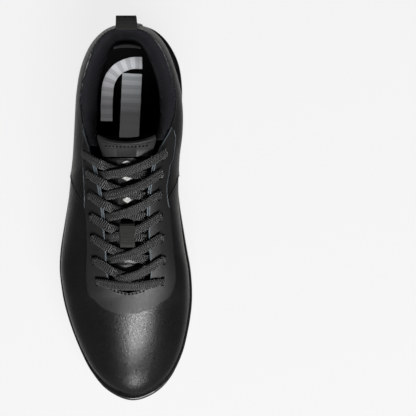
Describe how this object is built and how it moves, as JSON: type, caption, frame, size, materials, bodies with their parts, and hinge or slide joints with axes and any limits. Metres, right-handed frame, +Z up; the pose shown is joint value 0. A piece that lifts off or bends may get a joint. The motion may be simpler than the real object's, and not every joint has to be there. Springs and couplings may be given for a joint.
{
  "type": "golf shoe",
  "caption": "Low-cut spikeless golf shoe for the right foot: black leather upper, padded collar, flat laces, lifting footbed, heel pull loop and rubber sole.",
  "frame": {"origin": "centre of the overall box, on the ground under the shoe", "axes": "-Y towards the toe, +Y towards the heel, +X towards the inner (medial) side of the foot, +Z up"},
  "size_m": [0.1066, 0.3017, 0.1093],
  "materials": {
    "rubber": "moulded satin black",
    "midsole_foam": "matte black foam",
    "leather": "smooth full grain, semi-gloss black",
    "matte_film": "matte black bonded overlay",
    "lining": "black knit textile",
    "foam": "open-cell foam",
    "board": "non-woven board",
    "plastic": "matte black",
    "webbing": "ribbed dark olive-black tape",
    "lace": "woven black lace",
    "print": "silver-grey transfer film"
  },
  "bodies": {
    "shoe": {"outsole": "rubber", "toe_bumper": "rubber", "midsole": "midsole_foam", "shank": "plastic", "lasting_board": "board", "vamp": "leather", "quarter_lateral": "leather", "quarter_medial": "leather", "backstay": "leather", "eyestay": "matte_film", "eyestay_facing_lateral": "lining", "eyestay_facing_medial": "lining", "toe_puff": "plastic", "heel_counter": "plastic", "vamp_lining": "lining", "collar_lining": "lining", "collar_foam": "foam", "tongue_leather": "leather", "tongue_foam": "foam", "tongue_lining": "lining", "tongue_strip": "webbing", "lace_keeper": "webbing", "lace": "lace", "aglet_a": "plastic", "aglet_b": "plastic"},
    "footbed": {"footbed": "foam", "footbed_print_band": "print", "footbed_print_panel": "print"},
    "tongue_top": {"tongue_top_leather": "leather", "tongue_top_foam": "foam", "tongue_top_lining": "lining"},
    "pull_tab": {"pull_tab": "webbing"}
  },
  "joints": [
    {"name": "tongue_top_flex", "type": "hinge", "parent": "shoe", "child": "tongue_top", "pos_m": [0.00509, 0.04189, 0.09204], "axis": [1, 0, 0], "range_deg": [-8, 8], "stiffness_Nm_per_rad": 0.1},
    {"name": "footbed_lift", "type": "hinge", "parent": "shoe", "child": "footbed", "pos_m": [0.0048, -0.138, 0.027], "axis": [1, 0, 0], "range_deg": [0, 1.8]},
    {"name": "pull_tab_swing", "type": "hinge", "parent": "shoe", "child": "pull_tab", "pos_m": [0.0043, 0.1393, 0.0922], "axis": [1, 0, 0], "range_deg": [-20, 40], "stiffness_Nm_per_rad": 0.01}
  ]
}
